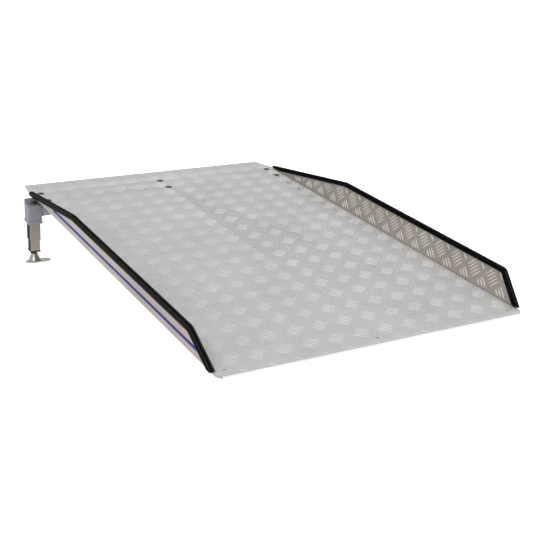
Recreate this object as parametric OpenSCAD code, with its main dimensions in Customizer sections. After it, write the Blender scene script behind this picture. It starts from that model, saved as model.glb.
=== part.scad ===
// Loading ramp: one folded tread-plate deck with flared side upstands, standing at its high
// end on a folding leg frame. X runs across, +Y towards the high end, +Z up. The origin lies
// on the ground, under the middle of the ramp.
// Most pieces are drawn in the deck's own tilted frame: X across, Y up the slope from the low
// edge, Z square to the deck with 0 on its top face.

/* [Deck] */
// Length of the deck along the slope
deck_len = 1000; // [900:10:1100]
// Width of the flat deck between the bends
deck_w = 636; // [600:2:660]
// Thickness of the tread plate
plate_t = 3; // [2.5:0.5:4]
// Inside radius of the bend up to each side
bend_r = 3; // [2:0.5:4]
// Outward lean of the side upstands, in degrees
flare = 12; // [5:1:16]
// Height of the upstand plate above the bend
wall_h = 54; // [45:1:60]
// Place where the upstands start at the high end
wall_top_end = 934; // [926:1:940]
// Height of the upstand plate where it starts at the high end
wall_top_h = 2; // [2:0.5:6]
// Place where the upstands reach full height, from the high end
wall_kink = 624; // [600:1:700]
// Place where the upstands begin to drop at the low end
wall_low_kink = 78; // [74:1:100]
// Place where the upstands end at the low end
wall_low_end = 19; // [19:1:30]
// Radius of the low corners of the deck
low_corner_r = 18; // [10:1:18]
// Amount the left high corner is cut in across the deck
high_cut_left = 7; // [5:1:25]
// Amount the right high corner is cut in across the deck
high_cut_right = 20; // [5:1:25]
// Length of the cut high corners along the deck
high_cut_y = 56; // [40:1:60]

/* [Edge trim] */
// Width of the rubber edge trim
trim_w = 11; // [9:0.5:13]
// Height of the rubber edge trim
trim_h = 10; // [8:0.5:12]
// Rubber above the edge of the plate
trim_crown = 2.6; // [2:0.1:3.5]
// Height of the blue stripe above the bend
stripe_h = 19; // [14:1:22]
// Width of the blue stripe
stripe_w = 8; // [4:0.5:9]
// Thickness of the blue stripe
stripe_t = 0.3; // [0.2:0.1:0.5]

/* [Underside] */
// Distance of the outer screw pairs and rivets from the middle
screw_x = 297; // [297:1:297]
// Distance between the two screws of a pair
screw_pitch = 50; // [48:1:54]
// Distance of each stiffening rib from the middle
rib_x = 160; // [120:1:200]
// Width of a rib
rib_w = 40; // [30:1:50]
// Depth of a rib
rib_h = 20; // [15:1:24]
// Thickness of a rib's plate
rib_t = 2; // [1.5:0.5:3]
// Width of the rubber strip under the low edge
pad_w = 24; // [20:1:30]
// Thickness of the rubber strip
pad_t = 2; // [1:0.5:3]

/* [Leg frame] */
// Place of the leg frame's pivot along the deck
pivot_y = 907; // [900:1:910]
// Depth of the pivot under the deck's top face
pivot_drop = 25; // [25:0.5:26]
// Outside diameter of the cross tube
cross_d = 25; // [24:0.5:26]
// Distance of each leg's axis from the middle
leg_x = 324; // [324:1:326]
// Outside width of the upper leg tube
leg_w = 25; // [25:1:25]
// Wall of the upper leg tube
leg_wall = 1.4; // [1.4:0.1:1.4]
// Outside width of the sliding lower leg tube
inner_w = 22; // [22:1:22]
// Depth of the upper leg tube's lower end under the deck's top face
leg_end = 98; // [95:1:102]
// Depth of the lower leg tube's lower end under the deck's top face
inner_end = 124; // [120:1:125]
// Depth of the foot's ball under the deck's top face
ball_drop = 142; // [142:0.5:145]

/* [Foot] */
// Height of the ball's centre above the ground
ball_h = 12; // [12:0.5:13]
// Diameter of the ball on the spindle
ball_d = 12; // [12:0.5:12]
// Diameter of the spindle's thread
spindle_d = 10; // [9:0.5:10]
// Diameter of the cone at its base
cone_base_d = 31; // [30:1:32]
// Diameter of the cone at its top
cone_top_d = 15; // [14.6:0.2:16]
// Height of the cone
cone_h = 18; // [17:0.5:18]
// Thickness of the foot plate
foot_t = 3; // [2.5:0.5:3]
// Width of the foot plate along the ramp
foot_w = 32; // [30:1:34]
// Reach of the foot plate outwards from the leg's axis
foot_out = 22; // [18:1:24]
// Reach of the foot plate inwards from the leg's axis
foot_in = 38; // [34:1:40]
// Distance of the anchor hole inwards from the leg's axis
anchor_in = 27; // [25:1:28]
// Diameter of the anchor hole
anchor_d = 9; // [7:0.5:10]

/* [Hidden] */
$fn = 48;
EPS = 0.02;
RUN = 0.05;                     // radial running clearance

// The slope follows from the leg's length: the strip's edge and the feet share the ground.
pad_y = 4;
leg_run = pivot_y - pad_y;
leg_drop = ball_drop - plate_t - pad_t;
slope = atan(leg_drop / leg_run) + asin(ball_h / norm([leg_run, leg_drop]));
shift_z = (plate_t + pad_t) * cos(slope) - pad_y * sin(slope);
shift_y = -(deck_len * cos(slope) + plate_t * sin(slope)) / 2;

// Bends and upstands
bend_x = deck_w / 2 - bend_r;
bend_turn = 90 - flare;
bend_steps = 8;
strip_out = 5.5;
kink_r = 70;
low_kink_r = 17;

// Screws and rivets
screw_d = 8;
screw_head_d = 16;
screw_head_h = 4;
screw_crown = 1.2;
screw_crown_d = 9;
screw_len = 17;
rivet_y = 20;
rivet_d = 4;
rivet_head_d = 7;
rivet_head_h = 0.8;

// Pivot blocks
block_w = 20;
block_len = 72;
block_flange = 14;
bearing_r = 19;
bush_wall = 2;
bush_r = cross_d / 2 + bush_wall;
boss_d = 20;
boss_drop = pivot_drop + bearing_r + 8;
pad_pin_d = 8;
pad_pin_len = 6;

// Fold lock knob
knob_d = 40;
knob_h = 16;
knob_top = boss_drop + 6;
knob_scallops = 5;
knob_scallop_r = 8;

// Leg brackets
socket_w = 31;
socket_top = 13;
socket_end = 57;
socket_roof = 3;
collar_w = 33;
collar_h = 6;
spigot_d = 20;
spigot_len = 46;
cross_wall = 2.5;
socket_face = leg_x - socket_w / 2;
wedge_len = 8;
wedge_rise = 9;
stop_w = 11;
stop_len = 7;
roll_pin_d = 5;
roll_pin_in = 36;
insert_h = 14;
cap_bolt_d = 8;
cap_bolt_head_d = 13;
cap_bolt_head_h = 4.5;
cap_bolt_len = 13;

// Lower legs
inner_top = 45;
inner_wall = 1.8;
plug_flange = 3;
plug_h = 16;
nut_w = 16;
nut_h = 10;
lock_up = 9;
lock_d = 6;
lock_head_d = 10;
lock_head_h = 6;

// Spindle and foot
hex_af = 14;
hex_h = 2.5;
neck_d = 6;
thread_top = 84;
cup_r = 8.4;
cup_top = 2.5;
cup_floor = 1;
mouth_d = 12.4;

// ---------------------------------------------------------------- frames

// Tilts its children from the deck's frame onto the ground.
module on_slope() {
    translate([0, shift_y, shift_z])
        rotate([slope, 0, 0])
            children();
}

// Right-hand upstand's frame: X square to the plate, Z up the plate, 0 at the bend's centre.
module wall_frame(side) {
    on_slope()
        mirror([side < 0 ? 1 : 0, 0, 0])
            translate([bend_x, 0, bend_r])
                rotate([0, flare, 0])
                    children();
}

// A leg's axis, with 0 on the deck's top face.
module leg_frame(side) {
    on_slope()
        mirror([side < 0 ? 1 : 0, 0, 0])
            translate([leg_x, pivot_y, 0])
                children();
}

// The ground under a foot's ball, level, with X pointing outwards.
module foot_frame(side) {
    translate([0, shift_y, shift_z])
        mirror([side < 0 ? 1 : 0, 0, 0])
            translate([
                leg_x,
                pivot_y * cos(slope) + ball_drop * sin(slope),
                pivot_y * sin(slope) - ball_drop * cos(slope) - ball_h
            ])
                children();
}

// ---------------------------------------------------------------- outlines

// Points of an arc that rounds the corner p between a and b with radius r.
function corner_arc(a, p, b, r, steps) =
    let (u = (a - p) / norm(a - p))
    let (v = (b - p) / norm(b - p))
    let (half = acos(u * v) / 2)
    let (c = p + (u + v) / norm(u + v) * r / sin(half))
    let (s = p + u * r / tan(half) - c)
    let (e = p + v * r / tan(half) - c)
    let (from = atan2(s[1], s[0]))
    let (turn = atan2(e[1], e[0]) - from)
    let (sweep = turn > 180 ? turn - 360 : turn < -180 ? turn + 360 : turn)
    [for (i = [0:steps]) c + r * [cos(from + sweep * i / steps), sin(from + sweep * i / steps)]];

// Angles at which the upstand's edge climbs at the high end and drops at the low end.
function wall_rise() = atan((wall_h - wall_top_h) / (wall_top_end - wall_kink));
function wall_drop() = atan(wall_h / (wall_low_kink - wall_low_end));

// Edge of the upstand moved outwards by d, as [along the deck, up the plate].
function wall_edge(d) =
    let (rise = wall_rise())
    let (drop = wall_drop())
    let (top_end = [wall_top_end, wall_top_h + d / cos(rise)])
    let (kink = [wall_kink + d * tan(rise / 2), wall_h + d])
    let (low_kink = [wall_low_kink - d * tan(drop / 2), wall_h + d])
    let (low_end = [wall_low_end - d / sin(drop), 0])
    concat(
        [top_end],
        corner_arc(top_end, kink, low_kink, kink_r + d, 6),
        corner_arc(kink, low_kink, low_end, low_kink_r + d, 8),
        [low_end]
    );

// Outline of the upstand moved outwards by d and closed below the bend.
function wall_outline(d) =
    let (edge = wall_edge(d))
    concat([[wall_top_end, -trim_h]], edge, [[edge[len(edge) - 1][0], -trim_h]]);

// Plate x0 to x0 + t from the bend's centre, with its edge moved out by d.
module wall_slab(x0, t, d) {
    translate([x0, 0, 0])
        rotate([90, 0, 90])
            linear_extrude(t)
                polygon(wall_outline(d));
}

// ---------------------------------------------------------------- deck

// Section across the sheet's right half: outside of the bend, upstand, inside of the bend.
function half_section() =
    let (outer = bend_r + plate_t)
    let (up = (wall_h + 1) * [sin(flare), cos(flare)])
    let (arc = [for (i = [0:bend_steps]) -90 + bend_turn * i / bend_steps])
    let (outside = [for (a = arc) [bend_x + outer * cos(a), bend_r + outer * sin(a)]])
    let (inside = [for (a = arc) [bend_x + bend_r * cos(a), bend_r + bend_r * sin(a)]])
    concat(
        outside,
        [outside[bend_steps] + up, inside[bend_steps] + up],
        [for (i = [bend_steps:-1:0]) inside[i]]
    );

// The bent sheet over the whole length of the deck, before its edges are cut.
module bent_sheet() {
    half = half_section();
    count = len(half);
    translate([0, deck_len, 0])
        rotate([90, 0, 0])
            linear_extrude(deck_len)
                polygon(concat(
                    half,
                    [for (i = [count - 1:-1:0]) [-half[i][0], half[i][1]]]
                ));
}

module screw_holes() {
    for (x = [-screw_x, 0, screw_x])
        for (y = [-screw_pitch / 2, screw_pitch / 2])
            translate([x, pivot_y + y, -plate_t - EPS])
                cylinder(
                    d1 = screw_head_d - 2 * plate_t,
                    d2 = screw_head_d + 4 * EPS,
                    h = plate_t + 2 * EPS
                );
}

module rivet_holes() {
    for (x = [-screw_x, 0, screw_x])
        translate([x, rivet_y, -plate_t - 1])
            cylinder(d = rivet_d + 2 * RUN, h = plate_t + 2);
}

// Everything above the upstand's edge, in the upstand's frame.
module wall_cut() {
    high = 2 * wall_h;
    translate([-bend_r, 0, 0])
        rotate([90, 0, 90])
            linear_extrude(3 * bend_r + plate_t)
                polygon(concat(
                    [[deck_len + 1, 0], [wall_top_end, 0]],
                    wall_edge(0),
                    [[-1, 0], [-1, high], [deck_len + 1, high]]
                ));
}

// The rise of the bend where the sheet has no upstand.
module bend_cut(y0, y1) {
    inset = 10;
    translate([bend_x - inset, y0, 0])
        cube([2 * inset, y1 - y0, 2 * bend_r]);
}

module high_corner_cut(cut_x) {
    corner = [bend_x + bend_r + plate_t, deck_len];
    translate([0, 0, -plate_t - 1])
        linear_extrude(plate_t + 2)
            polygon([
                corner + [1, 1],
                corner + [-cut_x, 1],
                corner + [-cut_x, 0],
                corner + [0, -high_cut_y],
                corner + [1, -high_cut_y]
            ]);
}

module low_corner_cut() {
    corner = [bend_x + strip_out, 0];
    along = corner - [2 * low_corner_r, 0];
    up = corner + [0, 2 * low_corner_r];
    beyond = [corner + [0, low_corner_r], corner + [1, low_corner_r], corner + [1, -1]];
    translate([0, 0, -plate_t - 1])
        linear_extrude(plate_t + 2)
            polygon(concat(
                beyond,
                [corner + [-low_corner_r, -1]],
                corner_arc(along, corner, up, low_corner_r, 8)
            ));
}

module deck_sheet() {
    color([0.78, 0.78, 0.78])
        on_slope()
            difference() {
                bent_sheet();
                screw_holes();
                rivet_holes();
                for (m = [0, 1])
                    mirror([m, 0, 0]) {
                        translate([bend_x, 0, bend_r])
                            rotate([0, flare, 0])
                                wall_cut();
                        bend_cut(wall_top_end, deck_len + 1);
                        bend_cut(-1, wall_low_end);
                        high_corner_cut(m == 1 ? high_cut_left : high_cut_right);
                        low_corner_cut();
                    }
            }
}

// Rubber U-profile pushed over the upstand's edge; its outer lip reaches past the bend where
// the upstand is low at the high end.
module trim(side) {
    lip = trim_h - trim_crown;
    lowest = 0.5;
    reach = 3;
    middle = bend_r + plate_t / 2;
    color([0.07, 0.07, 0.07])
        wall_frame(side)
            difference() {
                wall_slab(middle - trim_w / 2, trim_w, trim_crown);
                wall_slab(middle - trim_w, 2 * trim_w, -lip);
                wall_slab(bend_r, plate_t, 0);
                translate([middle - trim_w, -trim_h, lowest - 2 * trim_h])
                    cube([2 * trim_w, wall_kink, 2 * trim_h]);
                translate([middle - trim_w, wall_kink - 2 * trim_h, lowest - 2 * trim_h])
                    cube([trim_w, deck_len, 2 * trim_h]);
                translate([middle - trim_w, 0, -reach - 2 * trim_h])
                    cube([2 * trim_w, 2 * deck_len, 2 * trim_h]);
            }
}

module trim_left() {
    trim(-1);
}

module trim_right() {
    trim(1);
}

// Plain blue line along the outside of the upstand, between the ends of the trim's lip.
module stripe(side) {
    gap = 0.5;
    lip = trim_h - trim_crown;
    top = stripe_h + stripe_w / 2;
    low = wall_low_end + (top + lip / cos(wall_drop())) / tan(wall_drop()) + gap;
    high = wall_top_end - (top + lip / cos(wall_rise()) - wall_top_h) / tan(wall_rise()) - gap;
    color([0.1, 0.22, 0.6])
        wall_frame(side)
            translate([bend_r + plate_t, low, stripe_h - stripe_w / 2])
                cube([stripe_t, high - low, stripe_w]);
}

module stripe_left() {
    stripe(-1);
}

module stripe_right() {
    stripe(1);
}

// Raised countersunk screws that hold the pivot blocks under the deck.
module deck_screws() {
    socket_d = 5;
    socket_depth = 3;
    color([0.3, 0.28, 0.27])
        on_slope()
            for (x = [-screw_x, 0, screw_x])
                for (y = [-screw_pitch / 2, screw_pitch / 2])
                    translate([x, pivot_y + y, 0])
                        difference() {
                            union() {
                                translate([0, 0, -screw_head_h])
                                    cylinder(
                                        d1 = screw_head_d - 2 * screw_head_h,
                                        d2 = screw_head_d,
                                        h = screw_head_h
                                    );
                                translate([0, 0, -screw_len])
                                    cylinder(d = screw_d, h = screw_len - screw_head_h);
                                cylinder(d1 = screw_head_d, d2 = screw_crown_d, h = screw_crown);
                            }
                            translate([0, 0, screw_crown - socket_depth])
                                cylinder(d = socket_d, h = socket_depth + 1, $fn = 6);
                        }
}

// ---------------------------------------------------------------- pivot blocks

module pivot_block(x, boss) {
    body_w = 2 * bearing_r;
    color([0.5, 0.51, 0.55])
        on_slope()
            translate([x, pivot_y, 0])
                difference() {
                    union() {
                        translate([-block_w / 2, -block_len / 2, -plate_t - block_flange])
                            cube([block_w, block_len, block_flange]);
                        translate([-block_w / 2, -body_w / 2, -pivot_drop])
                            cube([block_w, body_w, pivot_drop - plate_t]);
                        translate([-block_w / 2, 0, -pivot_drop])
                            rotate([0, 90, 0])
                                cylinder(r = bearing_r, h = block_w);
                        if (boss)
                            translate([0, 0, -boss_drop])
                                cylinder(d = boss_d, h = boss_drop - pivot_drop);
                    }
                    translate([-block_w, 0, -pivot_drop])
                        rotate([0, 90, 0])
                            cylinder(r = bush_r, h = 2 * block_w);
                    for (y = [-screw_pitch / 2, screw_pitch / 2])
                        translate([0, y, 0]) {
                            translate([0, 0, -plate_t - block_flange - 1])
                                cylinder(d = screw_d + 2 * RUN, h = block_flange + 2);
                            translate([0, 0, -screw_head_h - 0.1])
                                cylinder(
                                    d1 = screw_head_d - 2 * screw_head_h,
                                    d2 = screw_head_d + 0.2,
                                    h = screw_head_h + 0.1
                                );
                        }
                    if (boss)
                        translate([0, 0, -boss_drop - 1])
                            cylinder(d = pad_pin_d + 2 * RUN, h = boss_drop - pivot_drop + 1);
                }
}

module pivot_block_left() {
    pivot_block(-screw_x, false);
}

module pivot_block_middle() {
    pivot_block(0, true);
}

module pivot_block_right() {
    pivot_block(screw_x, false);
}

// Plain nylon bush; the middle one is drilled for the lock pad.
module pivot_bush(x, drilled) {
    color([0.92, 0.9, 0.82])
        on_slope()
            translate([x, pivot_y, -pivot_drop])
                difference() {
                    translate([-block_w / 2, 0, 0])
                        rotate([0, 90, 0])
                            cylinder(r = bush_r, h = block_w);
                    translate([-block_w, 0, 0])
                        rotate([0, 90, 0])
                            cylinder(r = cross_d / 2 + RUN, h = 2 * block_w);
                    if (drilled)
                        translate([0, 0, -bush_r - 1])
                            cylinder(d = pad_pin_d + 2 * RUN, h = bush_r);
                }
}

module pivot_bush_left() {
    pivot_bush(-screw_x, false);
}

module pivot_bush_middle() {
    pivot_bush(0, true);
}

module pivot_bush_right() {
    pivot_bush(screw_x, false);
}

// ---------------------------------------------------------------- underside

// Channel stiffener welded under the deck, open side up, with sloped ends.
module rib(x) {
    low = 150;
    high = 850;
    ramp = 40;
    color([0.75, 0.75, 0.76])
        on_slope()
            translate([x, 0, -plate_t])
                difference() {
                    translate([-rib_w / 2, 0, 0])
                        rotate([90, 0, 90])
                            linear_extrude(rib_w)
                                polygon([
                                    [low, 0],
                                    [low, -rib_t],
                                    [low + ramp, -rib_h],
                                    [high - ramp, -rib_h],
                                    [high, -rib_t],
                                    [high, 0]
                                ]);
                    translate([-rib_w / 2 + rib_t, low - 1, -rib_h + rib_t])
                        cube([rib_w - 2 * rib_t, high - low + 2, rib_h]);
                }
}

module rib_left() {
    rib(-rib_x);
}

module rib_right() {
    rib(rib_x);
}

module low_edge_strip() {
    strip_len = 2 * screw_x + 26;
    color([0.1, 0.1, 0.1])
        on_slope()
            difference() {
                translate([-strip_len / 2, pad_y, -plate_t - pad_t])
                    cube([strip_len, pad_w, pad_t]);
                for (x = [-screw_x, 0, screw_x])
                    translate([x, rivet_y, -plate_t - pad_t - 1])
                        cylinder(d = rivet_d + 2 * RUN, h = pad_t + 2);
            }
}

// Blind rivets with a hollow middle, flush under the strip.
module strip_rivets() {
    hollow_d = 2;
    color([0.6, 0.6, 0.6])
        on_slope()
            for (x = [-screw_x, 0, screw_x])
                translate([x, rivet_y, 0])
                    difference() {
                        union() {
                            cylinder(d1 = rivet_head_d, d2 = rivet_head_d - 1.5, h = rivet_head_h);
                            translate([0, 0, -plate_t - pad_t + 0.5])
                                cylinder(d = rivet_d, h = plate_t + pad_t - 0.5);
                        }
                        translate([0, 0, -plate_t])
                            cylinder(d = hollow_d, h = plate_t + 2);
                    }
}

// ---------------------------------------------------------------- fold lock

// Brass pad pressed against the cross tube.
module fold_lock_pad() {
    color([0.8, 0.65, 0.3])
        on_slope()
            translate([0, pivot_y, -pivot_drop - cross_d / 2 - RUN - pad_pin_len])
                cylinder(d = pad_pin_d, h = pad_pin_len);
}

module fold_lock_stud() {
    stud_top = pivot_drop + cross_d / 2 + RUN + pad_pin_len + RUN;
    in_knob = 10;
    color([0.6, 0.6, 0.62])
        on_slope()
            translate([0, pivot_y, -knob_top - in_knob])
                cylinder(d = pad_pin_d, h = knob_top + in_knob - stud_top);
}

// Star knob that the ramp's user turns by hand from below.
module fold_lock_knob() {
    hub_d = 16;
    hub_h = 5;
    in_knob = 10;
    rim_h = knob_h - hub_h;
    color([0.08, 0.08, 0.08])
        on_slope()
            translate([0, pivot_y, -knob_top - knob_h])
                difference() {
                    union() {
                        cylinder(d = knob_d, h = rim_h);
                        translate([0, 0, rim_h])
                            cylinder(d = hub_d, h = hub_h);
                    }
                    for (i = [0:knob_scallops - 1])
                        rotate([0, 0, i * 360 / knob_scallops])
                            translate([0, knob_d / 2 + knob_scallop_r / 2, -1])
                                cylinder(r = knob_scallop_r, h = rim_h + 2);
                    translate([0, 0, knob_h - in_knob])
                        cylinder(d = pad_pin_d, h = in_knob + 1);
                }
}

// ---------------------------------------------------------------- leg frame

module cross_tube() {
    color([0.72, 0.72, 0.74])
        on_slope()
            translate([-socket_face, pivot_y, -pivot_drop])
                difference() {
                    rotate([0, 90, 0])
                        cylinder(d = cross_d, h = 2 * socket_face);
                    translate([-1, 0, 0])
                        rotate([0, 90, 0])
                            cylinder(d = cross_d - 2 * cross_wall, h = 2 * socket_face + 2);
                    for (x = [roll_pin_in, 2 * socket_face - roll_pin_in])
                        translate([x, 0, -cross_d])
                            cylinder(d = roll_pin_d, h = 2 * cross_d);
                }
}

// Cast bracket: square socket for the leg, with a wedge along its high side that carries the
// stop, and a spigot that fills the cross tube's end.
module leg_bracket(side) {
    color([0.5, 0.51, 0.55])
        leg_frame(side)
            difference() {
                union() {
                    translate([-socket_w / 2, -socket_w / 2, -socket_end])
                        cube([socket_w, socket_w, socket_end - socket_top]);
                    translate([-collar_w / 2, -collar_w / 2, -socket_end])
                        cube([collar_w, collar_w, collar_h]);
                    translate([-socket_w / 2 - spigot_len, 0, -pivot_drop])
                        rotate([0, 90, 0])
                            cylinder(d = spigot_d, h = spigot_len + 1);
                    translate([-socket_w / 2, socket_w / 2, -socket_top])
                        rotate([90, 0, 90])
                            linear_extrude(socket_w)
                                polygon([[-wedge_len, -1], [-wedge_len, 0], [0, wedge_rise], [0, -1]]);
                    translate([-socket_w / 2, socket_w / 2 - stop_len, -socket_top - EPS])
                        cube([stop_w, stop_len, socket_top - plate_t - RUN + EPS]);
                }
                translate([-leg_w / 2, -leg_w / 2, -socket_end - 1])
                    cube([leg_w, leg_w, socket_end + 1 - socket_top - socket_roof]);
                translate([0, 0, -socket_end])
                    cylinder(d = cap_bolt_d + 2 * RUN, h = socket_end);
                translate([-socket_w / 2 - roll_pin_in, 0, -pivot_drop - cross_d])
                    cylinder(d = roll_pin_d, h = 2 * cross_d);
            }
}

module leg_bracket_left() {
    leg_bracket(-1);
}

module leg_bracket_right() {
    leg_bracket(1);
}

// Split pins through the cross tube and each bracket's spigot.
module roll_pins() {
    color([0.4, 0.4, 0.42])
        for (side = [-1, 1])
            leg_frame(side)
                translate([-socket_w / 2 - roll_pin_in, 0, -pivot_drop - cross_d / 2])
                    difference() {
                        cylinder(d = roll_pin_d, h = cross_d);
                        translate([0, 0, -1])
                            cylinder(d = roll_pin_d / 2, h = cross_d + 2);
                    }
}

module square_tube(outer, wall, top, end) {
    difference() {
        translate([-outer / 2, -outer / 2, -end])
            cube([outer, outer, end - top]);
        translate([-outer / 2 + wall, -outer / 2 + wall, -end - 1])
            cube([outer - 2 * wall, outer - 2 * wall, end - top + 2]);
    }
}

module upper_leg(side) {
    color([0.62, 0.58, 0.55])
        leg_frame(side)
            difference() {
                square_tube(leg_w, leg_wall, socket_top + socket_roof, leg_end);
                translate([0, 0, -leg_end + lock_up])
                    rotate([-90, 0, 0])
                        cylinder(d = lock_d, h = leg_w);
            }
}

module upper_leg_left() {
    upper_leg(-1);
}

module upper_leg_right() {
    upper_leg(1);
}

// Tapped block inside the top of the upper leg tube.
module leg_insert(side) {
    width = leg_w - 2 * leg_wall;
    color([0.7, 0.7, 0.7])
        leg_frame(side)
            translate([0, 0, -socket_top - socket_roof - insert_h])
                difference() {
                    translate([-width / 2, -width / 2, 0])
                        cube([width, width, insert_h]);
                    translate([0, 0, -1])
                        cylinder(d = cap_bolt_d, h = insert_h + 2);
                }
}

module leg_insert_left() {
    leg_insert(-1);
}

module leg_insert_right() {
    leg_insert(1);
}

module bracket_bolts() {
    color([0.25, 0.25, 0.26])
        for (side = [-1, 1])
            leg_frame(side)
                translate([0, 0, -socket_top]) {
                    translate([0, 0, -cap_bolt_len])
                        cylinder(d = cap_bolt_d, h = cap_bolt_len);
                    cylinder(d = cap_bolt_head_d, h = cap_bolt_head_h, $fn = 6);
                }
}

// Hexagon screw through the upper tube that clamps the lower tube.
module leg_lock_screw(side) {
    color([0.5, 0.5, 0.52])
        leg_frame(side)
            translate([0, 0, -leg_end + lock_up])
                rotate([-90, 0, 0]) {
                    translate([0, 0, inner_w / 2 + RUN])
                        cylinder(d = lock_d, h = leg_w / 2 - inner_w / 2 - RUN);
                    translate([0, 0, leg_w / 2])
                        cylinder(d = lock_head_d, h = lock_head_h, $fn = 6);
                }
}

module leg_lock_screw_left() {
    leg_lock_screw(-1);
}

module leg_lock_screw_right() {
    leg_lock_screw(1);
}

// ---------------------------------------------------------------- lower legs

module lower_leg(side) {
    color([0.66, 0.62, 0.59])
        leg_frame(side)
            square_tube(inner_w, inner_wall, inner_top, inner_end);
}

module lower_leg_left() {
    lower_leg(-1);
}

module lower_leg_right() {
    lower_leg(1);
}

// Black end plug with a pocket for the spindle's nut.
module leg_plug(side) {
    width = inner_w - 2 * inner_wall;
    flange_w = inner_w + 1.5;
    color([0.06, 0.06, 0.06])
        leg_frame(side)
            difference() {
                union() {
                    translate([-flange_w / 2, -flange_w / 2, -inner_end - plug_flange])
                        cube([flange_w, flange_w, plug_flange]);
                    translate([-width / 2, -width / 2, -inner_end])
                        cube([width, width, plug_h]);
                }
                translate([0, 0, -inner_end - plug_flange - 1])
                    cylinder(d = spindle_d + 2 * RUN, h = plug_h + plug_flange + 2);
            }
}

module leg_plug_left() {
    leg_plug(-1);
}

module leg_plug_right() {
    leg_plug(1);
}

// Square nut above the plug that the spindle turns in.
module spindle_nut(side) {
    color([0.7, 0.7, 0.7])
        leg_frame(side)
            translate([0, 0, -inner_end + plug_h])
                difference() {
                    translate([-nut_w / 2, -nut_w / 2, 0])
                        cube([nut_w, nut_w, nut_h]);
                    translate([0, 0, -1])
                        cylinder(d = spindle_d + 2 * RUN, h = nut_h + 2);
                }
}

module spindle_nut_left() {
    spindle_nut(-1);
}

module spindle_nut_right() {
    spindle_nut(1);
}

// Threaded spindle with wrench flats; its neck turns in the ball.
module foot_spindle(side) {
    hex_top = inner_end + plug_flange + RUN;
    color([0.55, 0.55, 0.57])
        leg_frame(side) {
            translate([0, 0, -hex_top])
                cylinder(d = spindle_d, h = hex_top - thread_top);
            translate([0, 0, -hex_top - hex_h])
                cylinder(d = hex_af / cos(30), h = hex_h, $fn = 6);
            translate([0, 0, -ball_drop])
                cylinder(d = neck_d, h = ball_drop - hex_top - hex_h);
        }
}

module foot_spindle_left() {
    foot_spindle(-1);
}

module foot_spindle_right() {
    foot_spindle(1);
}

// Ball on the end of the spindle's neck.
module foot_ball(side) {
    color([0.6, 0.6, 0.62])
        leg_frame(side)
            translate([0, 0, -ball_drop])
                difference() {
                    sphere(d = ball_d);
                    translate([0, 0, -RUN])
                        cylinder(d = neck_d + 2 * RUN, h = ball_d);
                }
}

module foot_ball_left() {
    foot_ball(-1);
}

module foot_ball_right() {
    foot_ball(1);
}

// ---------------------------------------------------------------- feet

// Nylon cup that holds the ball.
module foot_cup(side) {
    color([0.9, 0.9, 0.88])
        foot_frame(side)
            translate([0, 0, foot_t])
                difference() {
                    cylinder(r = cup_r, h = ball_h - foot_t + cup_top);
                    translate([0, 0, ball_h - foot_t])
                        sphere(d = ball_d + 2 * RUN);
                    translate([0, 0, ball_h - foot_t + cup_floor])
                        cylinder(d = mouth_d - 2 * cup_floor, h = ball_h);
                }
}

module foot_cup_left() {
    foot_cup(-1);
}

module foot_cup_right() {
    foot_cup(1);
}

// Steel cone pressed over the cup.
module foot_cone(side) {
    color([0.75, 0.75, 0.74])
        foot_frame(side)
            translate([0, 0, foot_t])
                difference() {
                    cylinder(d1 = cone_base_d, d2 = cone_top_d, h = cone_h);
                    translate([0, 0, -1])
                        cylinder(r = cup_r, h = ball_h - foot_t + cup_top + 1);
                    cylinder(d = mouth_d, h = cone_h + 1);
                }
}

module foot_cone_left() {
    foot_cone(-1);
}

module foot_cone_right() {
    foot_cone(1);
}

// Flat plate with round ends and one anchor hole on its inner side.
module foot_plate(side) {
    end_r = foot_w / 2;
    color([0.72, 0.71, 0.68])
        foot_frame(side)
            difference() {
                union() {
                    translate([-foot_in + end_r, -foot_w / 2, 0])
                        cube([foot_in + foot_out - 2 * end_r, foot_w, foot_t]);
                    for (x = [-foot_in + end_r, foot_out - end_r])
                        translate([x, 0, 0])
                            cylinder(r = end_r, h = foot_t);
                }
                translate([-anchor_in, 0, -1])
                    cylinder(d = anchor_d, h = foot_t + 2);
            }
}

module foot_plate_left() {
    foot_plate(-1);
}

module foot_plate_right() {
    foot_plate(1);
}

// ---------------------------------------------------------------- assembly

deck_sheet();
trim_left();
trim_right();
stripe_left();
stripe_right();
deck_screws();
pivot_block_left();
pivot_block_middle();
pivot_block_right();
pivot_bush_left();
pivot_bush_middle();
pivot_bush_right();
rib_left();
rib_right();
low_edge_strip();
strip_rivets();
fold_lock_pad();
fold_lock_knob();
fold_lock_stud();
cross_tube();
leg_bracket_left();
leg_bracket_right();
roll_pins();
upper_leg_left();
upper_leg_right();
leg_insert_left();
leg_insert_right();
bracket_bolts();
leg_lock_screw_left();
leg_lock_screw_right();
lower_leg_left();
lower_leg_right();
leg_plug_left();
leg_plug_right();
spindle_nut_left();
spindle_nut_right();
foot_spindle_left();
foot_spindle_right();
foot_ball_left();
foot_ball_right();
foot_cup_left();
foot_cup_right();
foot_cone_left();
foot_cone_right();
foot_plate_left();
foot_plate_right();
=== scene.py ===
"""Folding loading ramp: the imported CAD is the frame, and this script adds the finished surfaces."""
import math
import random
import bmesh
import bpy
from mathutils import Matrix, Vector


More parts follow.
